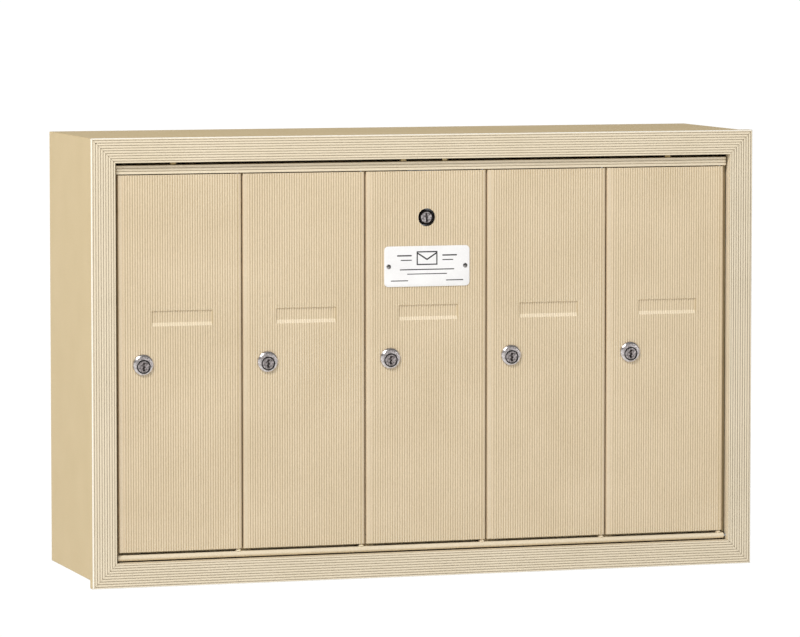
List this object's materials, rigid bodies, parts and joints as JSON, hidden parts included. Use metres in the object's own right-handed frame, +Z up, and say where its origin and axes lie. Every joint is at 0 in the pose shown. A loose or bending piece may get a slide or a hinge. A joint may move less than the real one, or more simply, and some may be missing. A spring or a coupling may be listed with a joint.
{
  "type": "cluster mailbox unit",
  "caption": "Wall mounted cluster mailbox: upright ribbed doors with key locks on a tilting front panel, in a sheet case with a mitred trim frame.",
  "frame": {"origin": "centre of the four wall bolt holes, on the wall plane at the back face", "axes": "+X to the right across the unit, +Y into the wall, +Z up; the front faces -Y"},
  "size_m": [0.73, 0.2, 0.468],
  "materials": {
    "sheet_coat": "sandstone powder coat on folded sheet, fine grain",
    "trim_coat": "sandstone powder coat on grooved aluminium extrusion",
    "door_coat": "sandstone powder coat on ribbed aluminium extrusion",
    "lock_face": "bright nickel plate on die cast zinc",
    "zinc_steel": "zinc plated steel",
    "label": "white printed aluminium plate",
    "rivet": "plain aluminium rivet"
  },
  "bodies": {
    "cabinet": {"back_panel": "sheet_coat", "side_panel_left": "sheet_coat", "side_panel_right": "sheet_coat", "top_panel": "sheet_coat", "bottom_panel": "sheet_coat", "trim_top": "trim_coat", "trim_bottom": "trim_coat", "trim_left": "trim_coat", "trim_right": "trim_coat", "corner_keys": "zinc_steel", "trim_screws": "zinc_steel", "case_rivets": "rivet", "strike_bracket": "zinc_steel", "panel_pivot_pins": "zinc_steel", "closing_stops": "zinc_steel"},
    "front_panel": {"top_rail": "trim_coat", "bottom_rail": "trim_coat", "end_plate_left": "sheet_coat", "end_plate_right": "sheet_coat", "divider_1": "sheet_coat", "divider_2": "sheet_coat", "divider_3": "sheet_coat", "divider_4": "sheet_coat", "pocket_back": "sheet_coat", "pocket_floor": "sheet_coat", "stop_studs": "zinc_steel", "door_pivot_pins": "zinc_steel", "panel_rivets": "rivet", "carrier_lock_bracket": "zinc_steel", "carrier_lock_case": "zinc_steel", "carrier_lock_screws": "zinc_steel"},
    "door_1": {"door_1_panel": "door_coat", "lock_1_body": "lock_face", "lock_1_nut": "zinc_steel"},
    "door_2": {"door_2_panel": "door_coat", "lock_2_body": "lock_face", "lock_2_nut": "zinc_steel"},
    "door_3": {"door_3_panel": "door_coat", "lock_3_body": "lock_face", "lock_3_nut": "zinc_steel", "label_plate": "label", "label_rivets": "rivet"},
    "door_4": {"door_4_panel": "door_coat", "lock_4_body": "lock_face", "lock_4_nut": "zinc_steel"},
    "door_5": {"door_5_panel": "door_coat", "lock_5_body": "lock_face", "lock_5_nut": "zinc_steel"},
    "plug_1": {"lock_1_plug": "lock_face", "lock_1_cam": "zinc_steel"},
    "plug_2": {"lock_2_plug": "lock_face", "lock_2_cam": "zinc_steel"},
    "plug_3": {"lock_3_plug": "lock_face", "lock_3_cam": "zinc_steel"},
    "plug_4": {"lock_4_plug": "lock_face", "lock_4_cam": "zinc_steel"},
    "plug_5": {"lock_5_plug": "lock_face", "lock_5_cam": "zinc_steel"},
    "carrier_plug": {"carrier_lock_plug": "lock_face"},
    "carrier_bolt": {"carrier_bolt": "zinc_steel"}
  },
  "joints": [
    {"name": "panel_tilt", "type": "hinge", "parent": "cabinet", "child": "front_panel", "pos_m": [0, -0.1909, -0.2035], "axis": [1, 0, 0], "range_deg": [0, 22]},
    {"name": "door_1_swing", "type": "hinge", "parent": "front_panel", "child": "door_1", "pos_m": [-0.206, -0.19, 0], "axis": [0, 0, 1], "range_deg": [0, 100]},
    {"name": "door_2_swing", "type": "hinge", "parent": "front_panel", "child": "door_2", "pos_m": [-0.0718, -0.19, 0], "axis": [0, 0, 1], "range_deg": [0, 100]},
    {"name": "door_3_swing", "type": "hinge", "parent": "front_panel", "child": "door_3", "pos_m": [0.0624, -0.19, 0], "axis": [0, 0, 1], "range_deg": [0, 100]},
    {"name": "door_4_swing", "type": "hinge", "parent": "front_panel", "child": "door_4", "pos_m": [0.1966, -0.19, 0], "axis": [0, 0, 1], "range_deg": [0, 100]},
    {"name": "door_5_swing", "type": "hinge", "parent": "front_panel", "child": "door_5", "pos_m": [0.3308, -0.19, 0], "axis": [0, 0, 1], "range_deg": [0, 100]},
    {"name": "lock_1_turn", "type": "hinge", "parent": "door_1", "child": "plug_1", "pos_m": [-0.3088, -0.19, -0.0038], "axis": [0, 1, 0], "range_deg": [0, 90]},
    {"name": "lock_2_turn", "type": "hinge", "parent": "door_2", "child": "plug_2", "pos_m": [-0.1746, -0.19, -0.0038], "axis": [0, 1, 0], "range_deg": [0, 90]},
    {"name": "lock_3_turn", "type": "hinge", "parent": "door_3", "child": "plug_3", "pos_m": [-0.0404, -0.19, -0.0038], "axis": [0, 1, 0], "range_deg": [0, 90]},
    {"name": "lock_4_turn", "type": "hinge", "parent": "door_4", "child": "plug_4", "pos_m": [0.0938, -0.19, -0.0038], "axis": [0, 1, 0], "range_deg": [0, 90]},
    {"name": "lock_5_turn", "type": "hinge", "parent": "door_5", "child": "plug_5", "pos_m": [0.228, -0.19, -0.0038], "axis": [0, 1, 0], "range_deg": [0, 90]},
    {"name": "carrier_lock_turn", "type": "hinge", "parent": "front_panel", "child": "carrier_plug", "pos_m": [0, -0.19, 0.146], "axis": [0, 1, 0], "range_deg": [0, 90]},
    {"name": "carrier_bolt_slide", "type": "slide", "parent": "front_panel", "child": "carrier_bolt", "axis": [0, 0, 1], "range_m": [0, 0.0101]}
  ],
  "couplings": [
    {"joint": "carrier_bolt_slide", "follows": "carrier_lock_turn", "m_per_rad": 0.006366}
  ]
}
